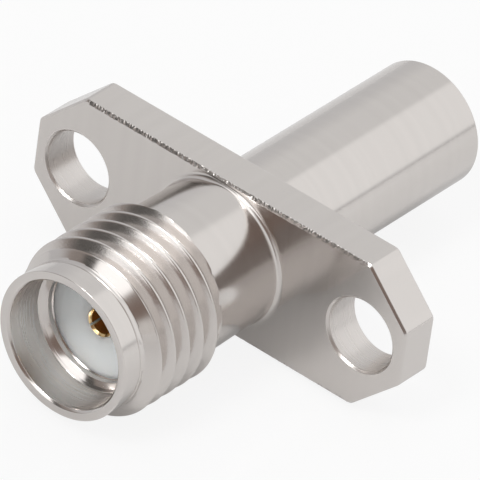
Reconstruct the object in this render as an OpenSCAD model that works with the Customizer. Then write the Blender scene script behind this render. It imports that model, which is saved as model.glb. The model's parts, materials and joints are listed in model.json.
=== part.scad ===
// Flange-mount coaxial jack: a threaded nose with a slotted socket contact, a two-hole
// flange, and a plain rear barrel that takes a semi-rigid cable.
// The connector axis is Y with the mouth towards -Y, the flange is long in X and Z is up.
// The origin is the middle of the flange's mounting face, which looks towards +Y.

/* [Flange] */
// Length of the flange, along X
flange_len = 15.86; // [14.5:0.01:18]
// Width of the flange, along Z
flange_w = 5.69; // [5.6:0.01:8]
// Thickness of the flange
flange_t = 1.48; // [1.2:0.01:2.4]
// Leg of the 45 degree cut at each flange corner
flange_corner = 1.8; // [0.6:0.05:2.4]
// Distance from an end of the flange to the middle of its screw hole
hole_inset = 1.82; // [1.6:0.01:2.6]
// Diameter of a screw hole
hole_d = 2.65; // [1.8:0.05:2.8]
// Edge break at both ends of a screw hole
hole_edge = 0.08; // [0.02:0.01:0.2]

/* [Nose] */
// Length of the nose, from the flange's front face to the mouth rim
nose_len = 7.86; // [7:0.02:10]
// Diameter of the plain lead in front of the thread
lead_d = 5.32; // [5.1:0.02:5.5]
// Length of the plain lead
lead_len = 0.76; // [0.4:0.02:1.2]
// Edge break on the outside of the mouth rim
rim_edge = 0.06; // [0.02:0.01:0.12]
// Diameter of the neck between thread and flange
neck_d = 5.4; // [5:0.02:5.6]
// Length of the neck, from the flange's front face to the thread
neck_len = 3.15; // [2:0.05:4]
// Radius of the fillet where the neck meets the flange
neck_fillet = 0.12; // [0.05:0.01:0.3]

/* [Coupling thread] */
// Major diameter of the thread
thread_d = 6.22; // [6.1:0.01:6.4]
// Pitch of the thread, 36 turns to the inch
thread_pitch = 0.7056; // [0.5:0.0001:0.75]
// Angle at which a crest crosses the thread's front end
thread_clock = 288; // [0:1:359]
// Length over which the crests rise at the front end
thread_run_in = 0.6; // [0.3:0.05:0.9]
// Length over which the crests fall at the rear end
thread_run_out = 0.1; // [0.05:0.05:0.6]

/* [Mouth] */
// Diameter of the mouth
mouth_d = 4.6; // [4.4:0.02:4.8]
// Depth of the mouth, from its rim to the insulator's face
mouth_depth = 1.9; // [1.2:0.05:2.6]
// Edge break on the inside of the mouth rim
mouth_edge = 0.08; // [0.02:0.01:0.12]
// Distance of the insulator's face behind the 45 degree cone at the mouth's foot
foot_recess = 0.14; // [0.05:0.01:0.3]

/* [Rear barrel] */
// Outside diameter of the barrel
barrel_d = 4.54; // [4.3:0.02:5.2]
// Length of the barrel behind the flange
barrel_len = 9.65; // [6:0.05:14]
// Edge break at the barrel's end
barrel_edge = 0.1; // [0.03:0.01:0.15]
// Diameter of the hole that takes the cable's outer conductor
cable_d = 3.63; // [3.3:0.01:3.7]
// Distance from the mounting face back to the cable's stop
cable_stop = 0.25; // [0.1:0.05:1]
// Diameter of the hole through the stop, where the cable's core passes
core_d = 3; // [2.4:0.05:3.2]

/* [Insulator] */
// Diameter of the insulator
insulator_d = 4.1; // [3.7:0.02:4.2]
// Distance from the mounting face forward to the insulator's seat
insulator_seat = 0.5; // [0.2:0.05:1]
// Radial room between insulator and shell
insulator_gap = 0.01; // [0.005:0.005:0.05]

/* [Contact] */
// Diameter of the contact's socket end
contact_d = 1.27; // [1.2:0.01:1.5]
// Radial room between contact and insulator
contact_gap = 0.01; // [0.005:0.005:0.05]
// Distance of the contact's tip behind the insulator's face
contact_recess = 0.22; // [0.02:0.01:0.3]
// Bore of the socket
socket_d = 0.94; // [0.85:0.01:1]
// Depth of the socket
socket_depth = 2.9; // [2.4:0.05:4]
// Edge break at the socket's mouth and on its tip
contact_edge = 0.05; // [0.02:0.01:0.08]
// Width of the slots between the socket's fingers
slot_w = 0.13; // [0.1:0.01:0.24]
// Length of the slots
slot_len = 2.2; // [1.2:0.05:2.3]
// Angle of the first slot
slot_angle = 40; // [0:1:89]
// Diameter of the solder cup at the contact's rear
cup_d = 1.7; // [1.5:0.05:2]
// Length of the solder cup
cup_len = 2.2; // [1.6:0.05:2.6]
// Bore of the solder cup
cup_bore = 0.96; // [0.85:0.01:1.2]
// Depth of the solder cup's bore
cup_depth = 1.6; // [1:0.05:1.6]

/* [Hidden] */

$fn = 96;
// Reach of a cut past the face that it opens
past = 0.5;

// Stations along the axis, measured from the mounting face
flange_front = -flange_t;
mouth_rim = flange_front - nose_len;
insulator_face = mouth_rim + mouth_depth;
thread_front = mouth_rim + lead_len;
thread_rear = flange_front - neck_len;
seat = -insulator_seat;
contact_tip = insulator_face + contact_recess;
shoulder = seat - cup_len;

// Distance between the two screw holes, 12.22 as such flanges have
hole_spacing = flange_len - 2 * hole_inset;

// Radii that several shapes share
lead_r = lead_d / 2;
neck_r = neck_d / 2;
mouth_r = mouth_d / 2;
barrel_r = barrel_d / 2;
insulator_r = insulator_d / 2;
insulator_bore_r = insulator_r + insulator_gap;
core_r = core_d / 2;
cable_r = cable_d / 2;
contact_r = contact_d / 2;
socket_r = socket_d / 2;
cup_r = cup_d / 2;

// Both ends of the cone at the mouth's foot
foot_rear = insulator_face - foot_recess;
foot_front = foot_rear - (mouth_r - insulator_bore_r);

// Section of the 60 degree thread: an eighth of the pitch is flat at the crest
thread_turn_sides = 48;
thread_depth = 0.6134 * thread_pitch;
crest_r = thread_d / 2;
root_r = crest_r - thread_depth;
crest_flat = thread_pitch / 8;
flank_len = thread_depth * tan(30);
// The shell under the thread stays below its roots, and the thread's sleeve reaches into it
thread_bed_r = root_r - 0.04;
thread_inner_r = thread_bed_r - 0.1;
// Height of the little step at each end of the thread
thread_step = 0.03;
// Overlap of lead and neck with the ends of the thread
thread_lap = 0.01;
// Length at each end of the thread in which the roots lie no lower than lead or neck
thread_land = 0.12;
// The fillet stays on the flange's face
least_fillet = 0.02;
fillet_r = max(least_fillet, min(neck_fillet, flange_w / 2 - neck_r - least_fillet));
fillet_sides = 5;

// Lays an axis that was drawn along Z along Y
module along_axis() rotate([-90, 0, 0]) children();

// A hole along the axis from station a to station b with both edges broken, reaching past each end
module broken_hole(r, a, b, edge)
    rotate_extrude()
        polygon([
            [0, a - past], [r + edge, a - past], [r + edge, a], [r, a + edge],
            [r, b - edge], [r + edge, b], [r + edge, b + past], [0, b + past]
        ]);

// A cylinder about the axis from station a to station b
module round_bar(r, a, b) translate([0, 0, a]) cylinder(r = r, h = b - a);

// Turned outside of nose and barrel, with the thread's bed left low
module turned_outside()
    rotate_extrude()
        polygon(concat(
            [
                [0, mouth_rim], [lead_r - rim_edge, mouth_rim], [lead_r, mouth_rim + rim_edge],
                [lead_r, thread_front + thread_lap], [thread_bed_r, thread_front + thread_lap],
                [thread_bed_r, thread_rear - thread_lap], [neck_r, thread_rear - thread_lap]
            ],
            [
                for (k = [0:fillet_sides])
                    let (a = 90 * k / fillet_sides)
                    [neck_r + fillet_r * (1 - cos(a)), flange_front - fillet_r * (1 - sin(a))]
            ],
            [
                [barrel_r, flange_front + flange_t / 2], [barrel_r, barrel_len - barrel_edge],
                [barrel_r - barrel_edge, barrel_len], [0, barrel_len]
            ]
        ));

// Stepped hole right through, from the mouth past the insulator's seat to the cable's end
module bores()
    rotate_extrude()
        polygon([
            [0, mouth_rim - past], [mouth_r + mouth_edge, mouth_rim - past],
            [mouth_r + mouth_edge, mouth_rim], [mouth_r, mouth_rim + mouth_edge],
            [mouth_r, foot_front], [insulator_bore_r, foot_rear],
            [insulator_bore_r, seat], [core_r, seat],
            [core_r, cable_stop], [cable_r, cable_stop],
            [cable_r, barrel_len - barrel_edge], [cable_r + barrel_edge, barrel_len],
            [cable_r + barrel_edge, barrel_len + past], [0, barrel_len + past]
        ]);

// Flange plate with its four corners cut
module flange_plate() {
    x = flange_len / 2;
    z = flange_w / 2;
    c = flange_corner;
    translate([0, 0, flange_front])
        linear_extrude(flange_t)
            polygon([
                [x - c, z], [c - x, z], [-x, z - c], [-x, c - z],
                [c - x, -z], [x - c, -z], [x, c - z], [x, z - c]
            ]);
}

// Rows of the thread's surface follow the helix: both edges of the crest, then both of the root
thread_rows = 4;
thread_row_at = [
    -crest_flat / 2, crest_flat / 2, crest_flat / 2 + flank_len, thread_pitch - crest_flat / 2 - flank_len
];
thread_row_r = [crest_r, crest_r, root_r, root_r];
thread_lead_turns = 2;
thread_row_count = thread_rows * (ceil((thread_rear - thread_front) / thread_pitch) + 2 * thread_lead_turns);
// A row closer than this to an end face is merged with its edge
thread_merge = thread_pitch / 20;

// Station of row j of the thread at side i
function thread_z(i, j) =
    thread_front
    + thread_pitch * (thread_clock / 360 + i / thread_turn_sides + floor(j / thread_rows) - thread_lead_turns)
    + thread_row_at[j % thread_rows];

// Radius of row j where it lies at station z: crests slope down to lead and neck, and roots end above them
function thread_r(j, z) =
    let (
        from_front = z - thread_front,
        from_rear = thread_rear - z,
        front_r = lead_r + thread_step,
        rear_r = neck_r + thread_step,
        front_limit = front_r + (crest_r - lead_r) * from_front / thread_run_in,
        rear_limit = rear_r + (crest_r - neck_r) * from_rear / thread_run_out
    )
    max(
        min(thread_row_r[j % thread_rows], front_limit, rear_limit),
        from_front < thread_land ? front_r : 0,
        from_rear < thread_land ? rear_r : 0
    );

// A point at radius r and station z on side i
function thread_point(i, r, z) =
    let (a = 360 * i / thread_turn_sides)
    [r * cos(a), r * sin(a), z];

// Number of the point at side i and row j, where rows past an end share that end's edge
function thread_id(i, j) =
    let (n = thread_turn_sides)
    i == n ? thread_id(0, j + thread_rows)
    : thread_z(i, j) < thread_front + thread_merge ? i
    : thread_z(i, j) > thread_rear - thread_merge ? n + i
    : 4 * n + i * (thread_row_count + 1) + j;

// Helical thread as a closed sleeve round the nose
module thread_sleeve() {
    n = thread_turn_sides;
    side = [for (i = [0:n - 1]) i];
    points = concat(
        [for (i = side) thread_point(i, lead_r + thread_step, thread_front)],
        [for (i = side) thread_point(i, neck_r + thread_step, thread_rear)],
        [for (i = side) thread_point(i, thread_inner_r, thread_front)],
        [for (i = side) thread_point(i, thread_inner_r, thread_rear)],
        [
            for (i = side, j = [0:thread_row_count])
                let (z = thread_z(i, j))
                thread_point(i, thread_r(j, z), z)
        ]
    );
    skin = [
        for (i = side, j = [0:thread_row_count - 1], half = [0, 1])
            let (
                a = thread_id(i, j),
                b = thread_id(i, j + 1),
                c = thread_id(i + 1, j + 1),
                d = thread_id(i + 1, j)
            )
            half == 0 ? [a, b, c] : [a, c, d]
    ];
    ends = [
        for (i = side)
            let (k = (i + 1) % n)
            each [
                [i, k, 2 * n + k, 2 * n + i],
                [n + k, n + i, 3 * n + i, 3 * n + k],
                [2 * n + k, 3 * n + k, 3 * n + i, 2 * n + i]
            ]
    ];
    whole = [for (f = skin) if (f[0] != f[1] && f[1] != f[2] && f[2] != f[0]) f];
    polyhedron(points, concat(whole, ends));
}

// One-piece metal shell
module body()
    color("silver")
        along_axis()
            difference() {
                union() {
                    turned_outside();
                    flange_plate();
                    thread_sleeve();
                }
                bores();
                for (side = [-1, 1])
                    translate([side * hole_spacing / 2, 0, 0])
                        broken_hole(hole_d / 2, flange_front, 0, hole_edge);
            }

// White sleeve that holds the contact on the axis
module insulator()
    color("white")
        along_axis()
            difference() {
                round_bar(insulator_r, insulator_face, seat);
                round_bar(contact_r + contact_gap, insulator_face - past, seat);
                round_bar(cup_r + contact_gap, shoulder, seat + past);
            }

// Slotted socket whose shoulder seats in the insulator, with a solder cup behind it
module contact()
    color("gold")
        along_axis()
            difference() {
                rotate_extrude()
                    polygon([
                        [0, contact_tip], [contact_r - contact_edge, contact_tip],
                        [contact_r, contact_tip + contact_edge], [contact_r, shoulder],
                        [cup_r, shoulder], [cup_r, seat - contact_edge],
                        [cup_r - contact_edge, seat], [0, seat]
                    ]);
                round_bar(socket_r, contact_tip - past, contact_tip + socket_depth);
                translate([0, 0, contact_tip])
                    cylinder(r1 = socket_r + contact_edge, r2 = socket_r, h = contact_edge);
                round_bar(cup_bore / 2, seat - cup_depth, seat + past);
                for (turn = [0, 90])
                    rotate(slot_angle + turn)
                        translate([-contact_d, -slot_w / 2, contact_tip - past])
                            cube([2 * contact_d, slot_w, slot_len + past]);
            }

body();
insulator();
contact();
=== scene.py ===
"""Looks of a flange-mount coaxial jack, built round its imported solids."""
import json
import math
import bpy
from mathutils import Matrix, Vector, noise
from mathutils.geometry import delaunay_2d_cdt


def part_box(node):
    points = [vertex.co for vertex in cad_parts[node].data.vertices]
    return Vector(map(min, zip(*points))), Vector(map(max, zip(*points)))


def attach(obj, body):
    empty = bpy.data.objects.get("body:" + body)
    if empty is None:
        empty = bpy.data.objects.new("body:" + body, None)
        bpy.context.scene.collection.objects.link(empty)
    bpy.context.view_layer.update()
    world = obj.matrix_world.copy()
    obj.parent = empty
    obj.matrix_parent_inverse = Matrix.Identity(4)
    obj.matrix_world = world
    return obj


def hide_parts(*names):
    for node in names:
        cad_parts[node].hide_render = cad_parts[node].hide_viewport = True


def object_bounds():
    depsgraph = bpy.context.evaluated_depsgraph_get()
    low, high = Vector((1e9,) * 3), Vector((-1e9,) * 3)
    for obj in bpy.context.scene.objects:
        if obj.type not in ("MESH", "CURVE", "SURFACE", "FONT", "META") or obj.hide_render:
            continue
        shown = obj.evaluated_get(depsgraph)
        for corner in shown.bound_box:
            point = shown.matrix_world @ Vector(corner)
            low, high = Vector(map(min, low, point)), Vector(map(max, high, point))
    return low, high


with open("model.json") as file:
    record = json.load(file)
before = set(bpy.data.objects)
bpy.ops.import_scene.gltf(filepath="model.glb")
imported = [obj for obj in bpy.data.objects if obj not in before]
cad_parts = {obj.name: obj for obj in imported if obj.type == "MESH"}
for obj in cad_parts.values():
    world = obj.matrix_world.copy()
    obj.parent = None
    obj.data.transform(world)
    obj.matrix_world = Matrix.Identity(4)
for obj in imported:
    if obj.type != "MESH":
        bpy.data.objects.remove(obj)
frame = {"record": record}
cad_low, cad_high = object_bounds()

# Sizes are in millimetres and become metres where a mesh is made
MM = 0.001

# Sizes and places that the frame gives
mount_dims = {mount["name"]: mount["dims"] for mount in frame["record"]["mounts"]}
body_low, body_high = (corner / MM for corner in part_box("body"))
insulator_low, insulator_high = (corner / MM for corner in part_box("insulator"))
contact_low, contact_high = (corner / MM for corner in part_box("contact"))
RIM = body_low.y
BARREL_END = body_high.y
HALF_LENGTH = body_high.x
INSULATOR_FACE = insulator_low.y
SEAT = insulator_high.y
SOLID_TIP = contact_low.y
HOLE_X = mount_dims["flange_screws"]["spacing_x_mm"] / 2
HOLE_R = mount_dims["flange_screws"]["hole_r_mm"]
MOUTH_R = mount_dims["mouth"]["r_mm"]
CABLE_R = mount_dims["cable_bore"]["r_mm"]
SOCKET_R = mount_dims["pin_socket"]["r_mm"]
SOCKET_DEPTH = mount_dims["pin_socket"]["length_mm"]
CUP_BORE_R = mount_dims["conductor_cup"]["r_mm"]
CUP_DEPTH = mount_dims["conductor_cup"]["length_mm"]
CREST_R = mount_dims["coupling_thread"]["r_mm"]
THREAD_LENGTH = mount_dims["coupling_thread"]["length_mm"]

# Mesh fineness
BODY_SIDES = 256
INSULATOR_SIDES = 192
HOLE_SIDES = 96
ROUND_STEPS = 4
NECK_STEPS = 2
FILLET_STEPS = 8
# Faces that meet at more than this angle keep a hard line between them
SHARP_ANGLE = math.radians(50)
# Width of the flat border that keeps a flat face's shading even beside a round
FLAT_BORDER = 0.004

# Flange; the round of a broken edge is given by the length that it takes of each side
FLANGE_T = 1.48
FLANGE_FRONT = -FLANGE_T
HALF_WIDTH = 2.845
CORNER_CUT = 1.8
CORNER_ROUND = 0.12
EDGE_ROUND = 0.02
CHAMFER_IN = 0.075
CHAMFER_DEEP = 0.082
REAR_ROUND = 0.05
HOLE_EDGE = 0.08
# Numbers of the flange corners at which the long sides start, with the side's sign in Z
LONG_SIDES = {1: 1, 5: -1}

# The cutter left the front chamfer ragged along the flange's long sides. These are the shares of its width
# and depth by which its borders and its middle stray, and the part of that which is left beside the neck
BURR_BORDER = 0.17
BURR_MIDDLE = 0.4
BURR_BESIDE_NECK = 0.55
# Length of one tooth along the edge, strength of the noise, and points along a side
BURR_LENGTH = 0.03
BURR_GAIN = 1.6
BURR_STEPS = 360
# How far apart in the noise the two sides lie, and the layers that move the lines of the chamfer
BURR_SIDE_SHIFT = 7.3
BURR_LAYER_SHIFT = 3.1
BORDER_LAYER = 0
MIDDLE_LAYER = 2
# Away from the neck the chamfer is this much wider and shallower
WIDE_CHAMFER = 1.9
WIDE_SHALLOW = 0.75
WIDE_FROM = 1.05
WIDE_RAMP = 0.03

# Lead with its fine groove, and the mouth's rim
LEAD_R = 2.66
LEAD_LENGTH = 0.76
LEAD_GROOVE = RIM + 0.8
GROOVE_SIZE = 0.028
GROOVE_ROUND = 0.008
MOUTH_EDGE = 0.08

# A flat cone and a steeper one at the mouth's foot, and the thin lip that holds the insulator
FOOT_FRONT = INSULATOR_FACE - 0.43
FOOT_STEP_R = 2.2
FOOT_STEP = FOOT_FRONT + (MOUTH_R - FOOT_STEP_R) * math.tan(math.radians(30))
FOOT_R = 2.03
FOOT_REAR = FOOT_STEP + (FOOT_STEP_R - FOOT_R) * math.tan(math.radians(40))
LIP_R = 1.985
LIP_REAR = INSULATOR_FACE - 0.01
LIP_FRONT = LIP_REAR - 0.045
LIP_ROUND = 0.006

# The neck narrows evenly from the thread to its foot, and a round leads from there to the flange's face
NECK_R = 2.7
NECK_FOOT_R = 2.635
NECK_FOOT = FLANGE_FRONT - 0.3
NECK_FILLET = 0.2
FILLET_BLEND = 0.05
LEAST_SINE = 0.1

# Barrel and bores
BARREL_R = 2.27
BARREL_EDGE = 0.1
CABLE_STOP = 0.25
CORE_R = 1.5
INSULATOR_BORE_R = 2.06

# Coupling thread
PITCH = 25.4 / 36
THREAD_FRONT = RIM + LEAD_LENGTH
THREAD_REAR = THREAD_FRONT + THREAD_LENGTH
THREAD_CLOCK = 288 / 360
THREAD_DEPTH = 0.6134 * PITCH
ROOT_R = CREST_R - THREAD_DEPTH
CREST_FLAT = PITCH / 8
FLANK = THREAD_DEPTH * math.tan(math.radians(30))
# Rounds of crest and root as shares of the thread's depth, and of the thread's ends in millimetres
CREST_ROUND = 0.14
ROOT_ROUND = 0.2
END_ROUND = 0.05
RUN_OUT = 0.1
# Foot and rise of the cone that leads to the first crest
CONE_FOOT = RIM + 0.98
CONE_RISE = math.tan(math.radians(50))
CONE_END = CONE_FOOT + (CREST_R - LEAD_R) / CONE_RISE
# Rows of points on each side of the crest's edge, and places of those on the flank and in the root
CREST_ROWS = 3
FLANK_ROWS = (0.7, 0.58, 0.46, 0.34, 0.22, 0.1)
ROOT_ROWS = (0.0, 0.33, 0.66)
# A row closer than this to an end of the thread joins that end
LEAST_STEP = 0.008

# Contact
CONTACT_R = 0.635
CONTACT_GAP = 0.01
CONTACT_ROUND = 0.02
CUP_R = 0.85
CUP_ROUND = 0.05
CUP_END = SEAT - CUP_DEPTH
SHOULDER = SEAT - 2.2
SOCKET_LEAD = 0.05
SOCKET_END = SOLID_TIP + SOCKET_LEAD + SOCKET_DEPTH
# The drill's cone at the bottom of the socket and of the cup
DRILL_POINT_R = 0.12
DRILL_POINT = 0.2
DRILL_ROUND = 0.03
FINGERS = 4
FINGER_STEPS = 20
SLOT_STEPS = 4
SLOT_WIDTH = 0.09
SLOT_END = SOLID_TIP + 2.2
SLOT_ANGLE = math.radians(37)
# The fingers close towards their tips, which lie level with the insulator's face
FINGER_TIP = INSULATOR_FACE
FINGER_R = 0.5
FINGER_BORE_R = 0.42
FINGER_LEAD = 0.075
FINGER_TAPER = 0.4
TIP_ROUND = 0.002

# Insulator, whose hole closes round the fingers at the front
INSULATOR_R = 2.05
INSULATOR_ROUND = 0.04
INSULATOR_HOLE_ROUND = 0.03
FRONT_HOLE_R = 0.525
FRONT_HOLE_END = INSULATOR_FACE + 0.05

# Places of the materials in the lists of the shell and the contact
TURNED, THREAD, MILLED, EDGE, BORED, NECK = range(6)
PLATED, SOCKET_BORE = range(2)


def soften(path, steps=ROUND_STEPS):
    """Rounds a profile's corners (r, y, edge); edge is the length that a round takes of each side."""
    out = []
    for k, (r, y, edge) in enumerate(path):
        here = Vector((r, y))
        if edge == 0:
            out.append((r, y))
            continue
        before = here + (Vector(path[k - 1][:2]) - here).normalized() * edge
        after = here + (Vector(path[(k + 1) % len(path)][:2]) - here).normalized() * edge
        for step in range(steps + 1):
            t = step / steps
            p = before * (1 - t) ** 2 + here * (2 * t * (1 - t)) + after * t ** 2
            out.append((p.x, p.y))
    return out


def soft_min(a, b, reach):
    """The smaller of two values, with a smooth change where they differ by less than reach."""
    bend = max(reach - abs(a - b), 0.0) / reach
    return min(a, b) - bend * bend * reach / 4


def soft_max(a, b, reach):
    """The larger of two values, with the same smooth change."""
    return -soft_min(-a, -b, reach)


class Skin:
    """Collects the points and faces of one closed mesh, in millimetres."""

    def __init__(self):
        self.points = []
        self.faces = []
        self.zones = []
        self.smooth = []

    def loop(self, points):
        """Adds points and returns their numbers."""
        first = len(self.points)
        self.points.extend(points)
        return list(range(first, len(self.points)))

    def ring(self, r, y, sides=BODY_SIDES, x=0.0):
        """Adds a ring about an axis along Y; r and y are numbers or functions of the angle."""
        points = []
        for k in range(sides):
            a = 2 * math.pi * k / sides
            radius = r(a) if callable(r) else r
            station = y(a) if callable(y) else y
            points.append((x + radius * math.cos(a), station, radius * math.sin(a)))
        return self.loop(points)

    def rings(self, path, first=None):
        """Adds rings along a softened profile; a given first ring stands in for the profile's own."""
        profile = soften(path)
        if first is None:
            return [self.ring(r, y) for r, y in profile]
        return [first] + [self.ring(r, y) for r, y in profile[1:]]

    def face(self, corners, zone=0, smooth=True):
        self.faces.append(tuple(corners))
        self.zones.append(zone)
        self.smooth.append(smooth)

    def bridge(self, a, b, zone=0):
        """Joins two closed loops of as many points with quads."""
        count = len(a)
        for k in range(count):
            n = (k + 1) % count
            self.face((a[k], b[k], b[n], a[n]), zone)

    def chain(self, loops, zone=0):
        """Joins each loop to the next."""
        for a, b in zip(loops, loops[1:]):
            self.bridge(a, b, zone)

    def fill(self, outline, holes, zone=0, flip=False):
        """Fills a flat face at constant Y between an outline and its holes."""
        triangles_inside = 1
        merge_distance = 1e-7
        numbers = []
        edges = []
        for closed in [outline] + holes:
            base = len(numbers)
            count = len(closed)
            numbers.extend(closed)
            edges.extend((base + k, base + (k + 1) % count) for k in range(count))
        flat = [Vector((self.points[n][0], self.points[n][2])) for n in numbers]
        result = delaunay_2d_cdt(flat, edges, [], triangles_inside, merge_distance)
        triangles, sources = result[2], result[3]
        origin = [numbers[source[0]] for source in sources]
        open_rings = [set(hole) for hole in holes]
        for triangle in triangles:
            corners = [origin[k] for k in triangle]
            if any(ring.issuperset(corners) for ring in open_rings):
                continue
            self.face(corners[::-1] if flip else corners, zone, smooth=False)

    def make(self, name, materials):
        """Makes the piece in metres, with normals that follow the larger faces."""
        mesh = bpy.data.meshes.new(name)
        mesh.from_pydata([[c * MM for c in p] for p in self.points], [], self.faces)
        mesh.polygons.foreach_set("material_index", self.zones)
        for material in materials:
            mesh.materials.append(material)
        mesh.polygons.foreach_set("use_smooth", self.smooth)
        mesh.set_sharp_from_angle(angle=SHARP_ANGLE)
        piece = bpy.data.objects.new(name, mesh)
        bpy.context.scene.collection.objects.link(piece)
        modifier = piece.modifiers.new("weighted normals", "WEIGHTED_NORMAL")
        modifier.keep_sharp = True
        return piece


def thread_radius(y, angle):
    """Radius of the threaded nose at station y and an angle about the axis."""
    front = LEAD_R + (y - CONE_FOOT) * CONE_RISE
    rear = NECK_R + (THREAD_REAR - y) * (CREST_R - NECK_R) / RUN_OUT
    turn = (y - THREAD_FRONT) / PITCH - THREAD_CLOCK + angle / (2 * math.pi)
    from_crest = abs(turn - round(turn)) * PITCH
    lift = (CREST_FLAT / 2 + FLANK - from_crest) / FLANK
    lift = soft_max(soft_min(lift, 1.0, CREST_ROUND), 0.0, ROOT_ROUND)
    r = ROOT_R + THREAD_DEPTH * lift
    return soft_min(soft_min(r, front, END_ROUND), rear, END_ROUND)


def thread_stations():
    """Where the thread's rows lie within one pitch, from its crest: close together at the rounds."""
    crest_edge = CREST_FLAT / 2
    root_edge = crest_edge + FLANK
    half = [0.0]
    crest_rows = range(-CREST_ROWS, CREST_ROWS + 1)
    half += [crest_edge + CREST_ROUND * FLANK * k / CREST_ROWS for k in crest_rows]
    half += [root_edge - FLANK * share for share in FLANK_ROWS]
    half += [root_edge + (PITCH / 2 - root_edge) * share for share in ROOT_ROWS]
    return [-s for s in half[:0:-1]] + half + [PITCH / 2]


def add_thread(skin, front, rear):
    """Rows that follow the helix between two rings; a row that runs past an end joins that end's ring."""
    stations = thread_stations()
    turns = range(-1, math.ceil(THREAD_LENGTH / PITCH) + 2)
    columns = []
    for k in range(BODY_SIDES):
        share = k / BODY_SIDES
        angle = 2 * math.pi * share
        column = []
        for turn in turns:
            for offset in stations:
                y = THREAD_FRONT + PITCH * (turn + THREAD_CLOCK - share) + offset
                if y < CONE_FOOT + LEAST_STEP:
                    column.append(front[k])
                elif y > THREAD_REAR - LEAST_STEP:
                    column.append(rear[k])
                else:
                    r = thread_radius(y, angle)
                    column += skin.loop([(r * math.cos(angle), y, r * math.sin(angle))])
        columns.append(column)
    # A full turn leads one pitch forward
    columns.append([front[0]] * len(stations) + columns[0][:-len(stations)])
    for here, there in zip(columns, columns[1:]):
        for j in range(len(here) - 1):
            corners = list(dict.fromkeys((here[j], here[j + 1], there[j + 1], there[j])))
            if len(corners) > 2:
                on_cone = all(skin.points[n][1] < CONE_END for n in corners)
                skin.face(corners, TURNED if on_cone else THREAD)


def burr(x, side, layer):
    """How far the ragged cut moves a line of the front chamfer at x on a long side, from -1 to 1."""
    wave = noise.noise(Vector((x / BURR_LENGTH, BURR_SIDE_SHIFT * side, BURR_LAYER_SHIFT * layer)))
    return max(-1.0, min(1.0, BURR_GAIN * wave))


def chamfer_spread(x, from_end):
    """How far the front chamfer has widened, from 0 to 1, at x and from_end away from a long side's end."""
    return max(0.0, min(1.0, (abs(x) - WIDE_FROM) / WIDE_RAMP, from_end / WIDE_RAMP))


def flange_outline(inset, depth, ragged, layer):
    """Points round the flange's eight sides, moved in by inset and lying depth behind the front face."""
    x = HALF_LENGTH - inset
    z = HALF_WIDTH - inset
    cut = CORNER_CUT - inset * (2 - math.sqrt(2))
    corners = [
        (x, z - cut), (x - cut, z), (cut - x, z), (-x, z - cut),
        (-x, cut - z), (cut - x, -z), (x - cut, -z), (x, cut - z),
    ]
    rounded = soften([(cx, cz, CORNER_ROUND) for cx, cz in corners])
    per_corner = ROUND_STEPS + 1
    outline = []
    for k in range(len(corners)):
        corner = rounded[k * per_corner:(k + 1) * per_corner]
        outline += [(px, FLANGE_FRONT + depth, pz) for px, pz in corner]
        if k not in LONG_SIDES:
            continue
        side = LONG_SIDES[k]
        start = outline[-1][0]
        end = rounded[(k + 1) * per_corner][0]
        for step in range(1, BURR_STEPS):
            px = start + (end - start) * step / BURR_STEPS
            spread = chamfer_spread(px, min(abs(px - start), abs(px - end))) if ragged else 0
            share = ragged * (BURR_BESIDE_NECK + spread * (1 - BURR_BESIDE_NECK))
            wider = 1 + spread * (WIDE_CHAMFER - 1)
            shallower = 1 + spread * (WIDE_SHALLOW - 1)
            moved_in = inset * wider * (1 + share * burr(px, side, layer))
            moved_back = depth * shallower * (1 + share * burr(px, side, layer + 1))
            outline.append((px, FLANGE_FRONT + moved_back, side * (HALF_WIDTH - moved_in)))
    return outline


def add_flange_edge(skin):
    """Edge of the flange, with a chamfer at the front face and a small round at the mounting face."""
    path = soften([
        (CHAMFER_IN + 2 * FLAT_BORDER, 0, 0), (CHAMFER_IN, 0, FLAT_BORDER), (0, CHAMFER_DEEP, EDGE_ROUND),
        (0, CHAMFER_DEEP + 2 * EDGE_ROUND, 0),
        (0, FLANGE_T - REAR_ROUND, REAR_ROUND / 2), (REAR_ROUND / 2, FLANGE_T, REAR_ROUND / 2),
        (REAR_ROUND + FLAT_BORDER, FLANGE_T, 0),
    ])
    # One more line runs along the chamfer's middle, between its two rounds
    middle = ROUND_STEPS + 2
    path.insert(middle, (CHAMFER_IN / 2, CHAMFER_DEEP / 2))
    loops = []
    for k, (inset, depth) in enumerate(path):
        if depth > 2 * CHAMFER_DEEP:
            outline = flange_outline(inset, depth, 0, BORDER_LAYER)
        elif k == middle:
            outline = flange_outline(inset, depth, BURR_MIDDLE, MIDDLE_LAYER)
        else:
            outline = flange_outline(inset, depth, BURR_BORDER, BORDER_LAYER)
        loops.append(skin.loop(outline))
    chamfer_end = max(k for k, (inset, depth) in enumerate(path) if depth <= CHAMFER_DEEP)
    skin.chain(loops[:chamfer_end + 1], EDGE)
    skin.chain(loops[chamfer_end:], MILLED)
    return loops


def fillet_width(angle):
    """Width of the round at the neck's foot, which narrows where the flange's long edges come close."""
    widest_chamfer = (CHAMFER_IN + 2 * FLAT_BORDER) * (1 + BURR_BORDER)
    to_edge = (HALF_WIDTH - widest_chamfer - 2 * FLAT_BORDER) / max(abs(math.sin(angle)), LEAST_SINE)
    return soft_min(NECK_FILLET, to_edge - NECK_FOOT_R, FILLET_BLEND)


def fillet_ring(skin, turn):
    """One ring of the round at the neck's foot; turn is 0 at the neck and a right angle at the flange."""
    return skin.ring(
        lambda a: NECK_FOOT_R + fillet_width(a) * (1 - math.cos(turn)),
        lambda a: FLANGE_FRONT - fillet_width(a) * (1 - math.sin(turn)),
    )


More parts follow.
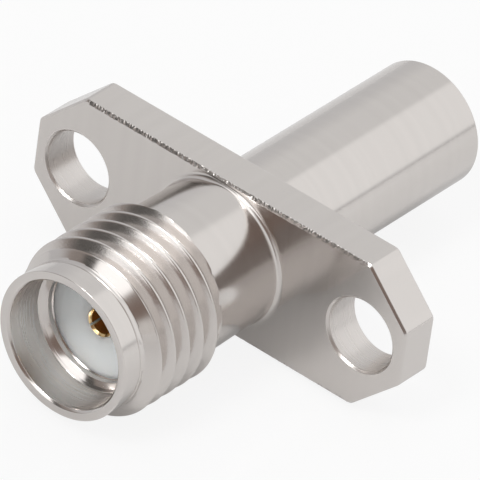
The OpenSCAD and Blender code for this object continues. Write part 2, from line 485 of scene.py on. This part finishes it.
def add_holes(skin):
    """Screw holes with broken edges, from the mounting face to the front face."""
    hole_rim = HOLE_R + HOLE_EDGE
    path = soften([
        (hole_rim + EDGE_ROUND, 0, 0), (hole_rim, 0, EDGE_ROUND / 2), (HOLE_R, -HOLE_EDGE, EDGE_ROUND),
        (HOLE_R, FLANGE_FRONT + HOLE_EDGE, EDGE_ROUND), (hole_rim, FLANGE_FRONT, EDGE_ROUND / 2),
        (hole_rim + EDGE_ROUND, FLANGE_FRONT, 0),
    ])
    holes = []
    for x in (-HOLE_X, HOLE_X):
        hole = [skin.ring(r, y, HOLE_SIDES, x) for r, y in path]
        skin.chain(hole, BORED)
        holes.append(hole)
    return holes


def make_body(materials):
    """One-piece shell: barrel, bores, mouth, lead, thread, neck and flange in one closed skin."""
    skin = Skin()
    edge = EDGE_ROUND

    # Barrel, from its root at the flange round its end and halfway into the cable bore
    barrel = skin.rings([
        (BARREL_R, 0, 0),
        (BARREL_R, BARREL_END - BARREL_EDGE, edge), (BARREL_R - BARREL_EDGE, BARREL_END, edge),
        (CABLE_R + BARREL_EDGE, BARREL_END, edge), (CABLE_R, BARREL_END - BARREL_EDGE, edge),
        (CABLE_R, BARREL_END / 2, 0),
    ])
    skin.chain(barrel, TURNED)

    # Bores, from the cable's end forward to the insulator's face
    bores = skin.rings([
        (CABLE_R, BARREL_END / 2, 0),
        (CABLE_R, CABLE_STOP, edge), (CORE_R, CABLE_STOP, edge), (CORE_R, SEAT, edge),
        (INSULATOR_BORE_R, SEAT, edge), (INSULATOR_BORE_R, INSULATOR_FACE, 0),
    ], barrel[-1])
    skin.chain(bores, BORED)

    # Mouth: lip and polished cones, then the wall up to the rim's inner edge
    wall_front = RIM + MOUTH_EDGE + 2 * edge
    foot = skin.rings([
        (INSULATOR_BORE_R, INSULATOR_FACE, 0), (LIP_R, LIP_REAR, LIP_ROUND),
        (FOOT_R, LIP_FRONT, LIP_ROUND), (FOOT_R, FOOT_REAR, edge), (FOOT_STEP_R, FOOT_STEP, edge),
        (MOUTH_R, FOOT_FRONT, edge), (MOUTH_R, FOOT_FRONT - 2 * edge, 0),
    ], bores[-1])
    skin.chain(foot, TURNED)
    wall = [foot[-1], skin.ring(MOUTH_R, wall_front)]
    skin.chain(wall, BORED)

    # Mouth rim, and the lead with its fine groove
    front = skin.rings([
        (MOUTH_R, wall_front, 0), (MOUTH_R, RIM + MOUTH_EDGE, edge), (MOUTH_R + MOUTH_EDGE, RIM, edge),
        (LEAD_R, RIM, edge), (LEAD_R, RIM + 2 * edge, 0), (LEAD_R, LEAD_GROOVE - GROOVE_SIZE - edge, 0),
        (LEAD_R, LEAD_GROOVE - GROOVE_SIZE, 0), (LEAD_R - GROOVE_SIZE, LEAD_GROOVE, GROOVE_ROUND),
        (LEAD_R, LEAD_GROOVE + GROOVE_SIZE, 0), (LEAD_R, LEAD_GROOVE + GROOVE_SIZE + edge, 0),
        (LEAD_R, CONE_FOOT, 0),
    ], wall[-1])
    skin.chain(front, TURNED)

    # Neck, the round at its foot and a flat border on the flange
    neck_path = soften([
        (NECK_R, THREAD_REAR, 0), (NECK_FOOT_R, NECK_FOOT, edge), (NECK_FOOT_R, FLANGE_FRONT, 0),
    ], NECK_STEPS)
    neck = [skin.ring(r, y) for r, y in neck_path[:-1]]
    neck += [fillet_ring(skin, math.pi / 2 * k / FILLET_STEPS) for k in range(FILLET_STEPS + 1)]
    border = skin.ring(lambda a: NECK_FOOT_R + fillet_width(a) + FLAT_BORDER, FLANGE_FRONT)
    skin.chain(neck + [border], NECK)
    add_thread(skin, front[-1], neck[0])

    # Flange, whose two faces close the skin
    sides = add_flange_edge(skin)
    holes = add_holes(skin)
    skin.fill(sides[0], [border] + [hole[-1] for hole in holes], MILLED)
    skin.fill(sides[-1], [barrel[0]] + [hole[0] for hole in holes], MILLED, flip=True)
    return skin.make("connector_body", materials)


def make_insulator(material):
    """White sleeve with a stepped hole for the contact."""
    skin = Skin()
    hole = CONTACT_R + CONTACT_GAP
    step = CUP_R + CONTACT_GAP
    path = soften([
        (FRONT_HOLE_R, INSULATOR_FACE, INSULATOR_HOLE_ROUND),
        (INSULATOR_R, INSULATOR_FACE, INSULATOR_ROUND), (INSULATOR_R, SEAT, INSULATOR_ROUND),
        (step, SEAT, INSULATOR_HOLE_ROUND), (step, SHOULDER, CONTACT_ROUND),
        (hole, SHOULDER, CONTACT_ROUND), (hole, FINGER_TIP + FINGER_TAPER, CONTACT_ROUND),
        (FRONT_HOLE_R, FRONT_HOLE_END, 0),
    ])
    loops = [skin.ring(r, y, INSULATOR_SIDES) for r, y in path]
    skin.chain(loops + loops[:1])
    return skin.make("insulator_sleeve", [material])


def contact_section():
    """Profile of the contact, from the socket's bottom round the tip to the solder cup's bottom."""
    return soften([
        (DRILL_POINT_R, SOCKET_END + DRILL_POINT, 0), (SOCKET_R, SOCKET_END, DRILL_ROUND),
        (SOCKET_R, SLOT_END, 0), (SOCKET_R, FINGER_TIP + FINGER_TAPER, CONTACT_ROUND),
        (FINGER_BORE_R, FINGER_TIP + FINGER_LEAD, CONTACT_ROUND), (FINGER_R, FINGER_TIP, TIP_ROUND),
        (CONTACT_R, FINGER_TIP + FINGER_TAPER, CONTACT_ROUND), (CONTACT_R, SLOT_END, 0),
        (CONTACT_R, SHOULDER, CONTACT_ROUND), (CUP_R, SHOULDER, CONTACT_ROUND), (CUP_R, SEAT, CUP_ROUND),
        (CUP_BORE_R, SEAT, CUP_ROUND), (CUP_BORE_R, CUP_END, DRILL_ROUND),
        (DRILL_POINT_R, CUP_END - DRILL_POINT, 0),
    ])


def slotted_angles(r):
    """Angles of a ring's points at radius r: those along each finger, then those across the next slot."""
    quarter = 2 * math.pi / FINGERS
    half_slot = math.asin(min(1.0, SLOT_WIDTH / 2 / r))
    span = quarter - 2 * half_slot
    angles = []
    for finger in range(FINGERS):
        start = SLOT_ANGLE + finger * quarter + half_slot
        angles += [start + span * k / FINGER_STEPS for k in range(FINGER_STEPS)]
        angles += [start + span + 2 * half_slot * k / SLOT_STEPS for k in range(SLOT_STEPS)]
    return angles


def make_contact(materials):
    """Slotted socket: rings follow the section, and the slots leave out part of those near the tip."""
    skin = Skin()
    section = contact_section()
    rings = []
    for r, y in section:
        rings.append(skin.loop([(r * math.cos(a), y, r * math.sin(a)) for a in slotted_angles(r)]))
    per_finger = FINGER_STEPS + SLOT_STEPS
    count = FINGERS * per_finger
    inner_end, outer_end = (k for k, (r, y) in enumerate(section) if y == SLOT_END)
    inner_tip = next(k for k, (r, y) in enumerate(section) if y < FINGER_TIP + 2 * FINGER_LEAD)
    for k in range(len(rings) - 1):
        slotted = inner_end <= k < outer_end
        # Faces inside the socket take the darker gold, whose colour is painted shade of the bore
        zone = SOCKET_BORE if k < inner_tip else PLATED
        for c in range(count):
            if slotted and c % per_finger >= FINGER_STEPS:
                continue
            n = (c + 1) % count
            skin.face((rings[k][c], rings[k + 1][c], rings[k + 1][n], rings[k][n]), zone)
    # Side walls of the slots and their bottoms
    for finger in range(FINGERS):
        first = finger * per_finger
        last = first + FINGER_STEPS
        skin.face([rings[k][first] for k in range(outer_end, inner_end - 1, -1)])
        skin.face([rings[k][last] for k in range(inner_end, outer_end + 1)])
        for c in range(last, first + per_finger):
            n = (c + 1) % count
            inner, outer = rings[inner_end], rings[outer_end]
            skin.face((inner[c], outer[c], outer[n], inner[n]))
    # Flat points of both drilled cones
    skin.face(rings[0])
    skin.face(rings[-1][::-1])
    return skin.make("socket_contact", materials)


class Nodes:
    """Short calls for adding and linking the nodes of one tree."""

    def __init__(self, tree):
        self.tree = tree

    def add(self, kind, **settings):
        node = self.tree.nodes.new(kind)
        for name, value in settings.items():
            setattr(node, name, value)
        return node

    def put(self, socket, value):
        """Links a socket, or sets a constant, on an input."""
        if isinstance(value, bpy.types.NodeSocket):
            self.tree.links.new(value, socket)
        else:
            socket.default_value = value

    def math(self, operation, first, second=0.0):
        node = self.add("ShaderNodeMath", operation=operation)
        self.put(node.inputs[0], first)
        self.put(node.inputs[1], second)
        return node.outputs[0]

    def ramp(self, value, from_low, from_high, to_low, to_high, smooth=False):
        """Carries a value from one range over to another."""
        node = self.add("ShaderNodeMapRange", interpolation_type="SMOOTHSTEP" if smooth else "LINEAR")
        self.put(node.inputs["Value"], value)
        self.put(node.inputs["From Min"], from_low)
        self.put(node.inputs["From Max"], from_high)
        self.put(node.inputs["To Min"], to_low)
        self.put(node.inputs["To Max"], to_high)
        return node.outputs["Result"]

    def mix(self, factor, first, second):
        """Mixes two colours; the numbers are those of the node's colour sockets."""
        node = self.add("ShaderNodeMix", data_type="RGBA")
        self.put(node.inputs["Factor"], factor)
        self.put(node.inputs[6], first)
        self.put(node.inputs[7], second)
        return node.outputs[2]

    def noise(self, stretch, detail=2.0, roughness=0.5):
        """Noise over the piece's own coordinates, with so many waves per millimetre along X, Y and Z."""
        coordinates = self.add("ShaderNodeTexCoord")
        mapping = self.add("ShaderNodeMapping")
        mapping.inputs["Scale"].default_value = [waves / MM for waves in stretch]
        self.put(mapping.inputs["Vector"], coordinates.outputs["Object"])
        texture = self.add("ShaderNodeTexNoise")
        texture.inputs["Scale"].default_value = 1
        texture.inputs["Detail"].default_value = detail
        texture.inputs["Roughness"].default_value = roughness
        self.put(texture.inputs["Vector"], mapping.outputs["Vector"])
        return texture.outputs["Fac"]

    def bump(self, shader, relief, height, strength=1.0):
        """Gives a shader a fine relief, height millimetres high."""
        node = self.add("ShaderNodeBump")
        node.inputs["Strength"].default_value = strength
        node.inputs["Distance"].default_value = height * MM
        self.put(node.inputs["Height"], relief)
        self.put(shader.inputs["Normal"], node.outputs["Normal"])


STEEL = (0.68, 0.645, 0.62)
# The steel's tone shifts by this share, in bands so many times wider than the tool marks
TONE_SHIFT = 0.015
BAND_WIDTH = 9
PLASTIC_LOW = (0.81, 0.88, 0.96, 1)
PLASTIC_HIGH = (0.87, 0.93, 0.99, 1)
PLASTIC_CLOUD = (1.5, 1.5, 1.5)
PLASTIC_GRAIN = (14, 14, 14)
# How far light wanders under the plastic's surface
PLASTIC_DEPTH = 1.0
GOLD_MARKS = (1, 25, 1)
GOLD_MARK_HEIGHT = 0.0005


def new_material(name):
    material = bpy.data.materials.new(name)
    material.use_nodes = True
    return material, Nodes(material.node_tree), material.node_tree.nodes["Principled BSDF"]


def shell_metal(name, grain, grain_height, roughness):
    """Passivated steel: a fine grain of tool marks, uneven polish and faint shifts of tone."""
    material, nodes, shader = new_material(name)
    marks = nodes.noise(grain, 3.0, 0.6)
    bands = nodes.noise([waves / BAND_WIDTH for waves in grain])
    low = [channel * (1 - TONE_SHIFT) for channel in STEEL] + [1]
    high = [channel * (1 + TONE_SHIFT) for channel in STEEL] + [1]
    nodes.put(shader.inputs["Base Color"], nodes.mix(nodes.ramp(bands, 0.3, 0.7, 0, 1), low, high))
    shader.inputs["Metallic"].default_value = 1
    nodes.put(shader.inputs["Roughness"], nodes.ramp(marks, 0.25, 0.75, *roughness))
    nodes.bump(shader, marks, grain_height)
    return material


def white_plastic():
    """White fluoropolymer, satin, with a faint cloudiness."""
    material, nodes, shader = new_material("white_fluoropolymer")
    cloud = nodes.noise(PLASTIC_CLOUD, 3.0)
    nodes.put(shader.inputs["Base Color"], nodes.mix(cloud, PLASTIC_LOW, PLASTIC_HIGH))
    shader.inputs["Subsurface Weight"].default_value = 1
    shader.inputs["Subsurface Radius"].default_value = (1, 1, 1)
    shader.inputs["Subsurface Scale"].default_value = PLASTIC_DEPTH * MM
    grain = nodes.noise(PLASTIC_GRAIN)
    nodes.put(shader.inputs["Roughness"], nodes.ramp(grain, 0.3, 0.7, 0.38, 0.5))
    nodes.bump(shader, grain, 0.001, strength=0.5)
    return material


def gold_plating(name, roughness, low, high):
    """Gold over a turned contact, with fine tool marks."""
    material, nodes, shader = new_material(name)
    marks = nodes.noise(GOLD_MARKS)
    nodes.put(shader.inputs["Base Color"], nodes.mix(marks, low, high))
    shader.inputs["Metallic"].default_value = 1
    nodes.put(shader.inputs["Roughness"], nodes.ramp(marks, 0.3, 0.7, *roughness))
    nodes.bump(shader, marks, GOLD_MARK_HEIGHT)
    return material


# In the order of the zones: name, tool marks per millimetre along X, Y and Z, their height, and roughness
shell_materials = [
    shell_metal("turned_steel", (0.3, 22, 0.3), 0.0003, (0.10, 0.17)),
    shell_metal("threaded_steel", (14, 10, 14), 0.002, (0.14, 0.22)),
    shell_metal("milled_steel", (26, 0.6, 0.5), 0.0004, (0.12, 0.19)),
    shell_metal("chamfered_edge", (18, 18, 18), 0.003, (0.12, 0.22)),
    shell_metal("bored_steel", (0.3, 18, 0.3), 0.0003, (0.24, 0.34)),
    shell_metal("relieved_neck", (0.3, 18, 0.3), 0.0003, (0.14, 0.20)),
]

gold_materials = [
    gold_plating("gold_plating", (0.14, 0.24), (0.93, 0.68, 0.34, 1), (1.0, 0.80, 0.46, 1)),
    # Inside the socket the gold is darker and a deeper orange than outside: painted shade of the deep bore
    gold_plating("gold_bore", (0.4, 0.55), (1.0, 0.58, 0.18, 1), (1.0, 0.64, 0.24, 1)),
]

for piece, node, slot in (
    (make_body(shell_materials), "body", "shell_metal"),
    (make_insulator(white_plastic()), "insulator", "white_insulator"),
    (make_contact(gold_materials), "contact", "gold_plate"),
):
    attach(piece, "root")
    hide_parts(node)

# Camera, with lengths in millimetres and the picture in pixels
IMAGE = 480
SENSOR = 36.0
CAMERA_AZIMUTH = math.radians(34.933)
CAMERA_ELEVATION = math.radians(35.796)
CAMERA_ROLL = math.radians(8.262)
CAMERA_DISTANCE = 318.38
FOCAL_PIXELS = 9657.5
NEAREST_SEEN = 10
# Where the middle of the flange's front face lies in the picture
AIM_PIXEL = (216.73, 251.11)


def place_camera():
    """Camera at the photograph's viewing angle, moved sideways so that the part lies as it does there."""
    a, e, roll = CAMERA_AZIMUTH, CAMERA_ELEVATION, CAMERA_ROLL
    back = Vector((math.sin(a) * math.cos(e), -math.cos(a) * math.cos(e), math.sin(e)))
    level = Vector((math.cos(a), math.sin(a), 0))
    above = back.cross(level)
    right = level * math.cos(roll) + above * math.sin(roll)
    up = above * math.cos(roll) - level * math.sin(roll)
    per_pixel = CAMERA_DISTANCE / FOCAL_PIXELS
    aim = Vector((0, FLANGE_FRONT, 0))
    centre = aim + back * CAMERA_DISTANCE
    centre -= right * ((AIM_PIXEL[0] - IMAGE / 2) * per_pixel)
    centre += up * ((AIM_PIXEL[1] - IMAGE / 2) * per_pixel)
    data = bpy.data.cameras.new("camera")
    data.sensor_width = SENSOR
    data.lens = FOCAL_PIXELS / IMAGE * SENSOR
    data.clip_start = NEAREST_SEEN * MM
    camera = bpy.data.objects.new("camera", data)
    turned = Matrix((right, up, back)).transposed().to_4x4()
    camera.matrix_world = Matrix.Translation(centre * MM) @ turned
    bpy.context.scene.collection.objects.link(camera)
    bpy.context.scene.camera = camera


place_camera()

WHITE = (1, 1, 1, 1)
# Panels that stand round the object: azimuth and elevation of the middle, half width and half height,
# softness of the edge (all in degrees, azimuth from the front towards +X), and the light that it sends
PANELS = {
    "right soft box": ((134, 31), (44, 29), 5, (1.0, 1.0, 1.0, 1)),
    "left wall": ((-98, 20), (38, 45), 10, (0.62, 0.62, 0.63, 1)),
    "ceiling": ((0, 90), (360, 27), 3, (1.5, 1.5, 1.5, 1)),
    "open front": ((-3, 20), (60, 30), 6, (0.33, 0.29, 0.27, 1)),
    "open left front": ((-38.5, 30), (7.5, 22), 4, (0.10, 0.095, 0.09, 1)),
    "camera side": ((33, 29), (14, 17), 6, (0.24, 0.18, 0.155, 1)),
    "table's edge": ((7, 3), (15, 12), 4, (0.27, 0.21, 0.19, 1)),
    "front soft box": ((-9, 46), (22, 32), 3, (1.5, 1.5, 1.5, 1)),
    "middle of the soft box": ((-8, 56), (13, 6), 2.5, (22, 22, 22, 1)),
    "stand of the soft box": ((-38.5, 8), (13, 14), 3, (0.11, 0.105, 0.10, 1)),
    "gap over the floor": ((135, 1), (32, 2), 1.5, (0.6, 0.6, 0.6, 1)),
    "light at the right": ((34, 4), (6, 7), 3, (0.75, 0.73, 0.71, 1)),
    "dark beside the light": ((48, 12), (6, 14), 3, (0.22, 0.19, 0.18, 1)),
}
SURROUNDINGS = (0.8, 0.8, 0.8, 1)
# Floor: half its side in metres, its own look, and the share of white that the camera and the metal see
FLOOR_HALF = 0.6
FLOOR_COLOR = (0.62, 0.62, 0.62, 1)
FLOOR_ROUGHNESS = 0.2
WHITE_SEEN = 0.88
WHITE_MIRRORED = 0.2


def studio_world():
    """Pale surroundings with soft panels that light the part and show in it; the camera sees white."""
    world = bpy.data.worlds.new("studio")
    world.use_nodes = True
    nodes = Nodes(world.node_tree)
    coordinates = nodes.add("ShaderNodeTexCoord")
    split = nodes.add("ShaderNodeSeparateXYZ")
    nodes.put(split.inputs[0], coordinates.outputs["Generated"])
    x, y, z = split.outputs
    azimuth = nodes.math("ARCTAN2", x, nodes.math("MULTIPLY", y, -1.0))
    elevation = nodes.math("ARCSINE", z)

    def within(angle, middle, half, soft):
        off = nodes.math("ABSOLUTE", nodes.math("SUBTRACT", angle, math.radians(middle)))
        inside, outside = math.radians(half - soft), math.radians(half + soft)
        return nodes.ramp(off, inside, outside, 1.0, 0.0, smooth=True)

    light = SURROUNDINGS
    for middle, half, soft, color in PANELS.values():
        across = within(azimuth, middle[0], half[0], soft)
        along = within(elevation, middle[1], half[1], soft)
        light = nodes.mix(nodes.math("MULTIPLY", across, along), light, color)
    path = nodes.add("ShaderNodeLightPath")
    background = world.node_tree.nodes["Background"]
    nodes.put(background.inputs["Color"], nodes.mix(path.outputs["Is Camera Ray"], light, WHITE))
    return world


def make_floor():
    """White floor under the part; the camera and the metal see it paler than it lights the part."""
    signs = ((-1, -1), (1, -1), (1, 1), (-1, 1))
    corners = [(x * FLOOR_HALF, y * FLOOR_HALF, cad_low.z) for x, y in signs]
    mesh = bpy.data.meshes.new("floor")
    mesh.from_pydata(corners, [], [(0, 1, 2, 3)])
    floor = bpy.data.objects.new("floor", mesh)
    bpy.context.scene.collection.objects.link(floor)
    material, nodes, gloss = new_material("white_floor")
    gloss.inputs["Base Color"].default_value = FLOOR_COLOR
    gloss.inputs["Roughness"].default_value = FLOOR_ROUGHNESS
    glow = nodes.add("ShaderNodeEmission")
    glow.inputs["Color"].default_value = WHITE
    path = nodes.add("ShaderNodeLightPath")
    seen = nodes.math("MULTIPLY", path.outputs["Is Camera Ray"], WHITE_SEEN)
    mirrored = nodes.math("MAXIMUM", path.outputs["Is Glossy Ray"], path.outputs["Is Transmission Ray"])
    share = nodes.math("ADD", seen, nodes.math("MULTIPLY", mirrored, WHITE_MIRRORED))
    mixed = nodes.add("ShaderNodeMixShader")
    nodes.put(mixed.inputs[0], share)
    nodes.put(mixed.inputs[1], gloss.outputs[0])
    nodes.put(mixed.inputs[2], glow.outputs[0])
    nodes.put(material.node_tree.nodes["Material Output"].inputs["Surface"], mixed.outputs[0])
    mesh.materials.append(material)


make_floor()
bpy.context.scene.world = studio_world()
bpy.context.scene.view_settings.view_transform = "Standard"
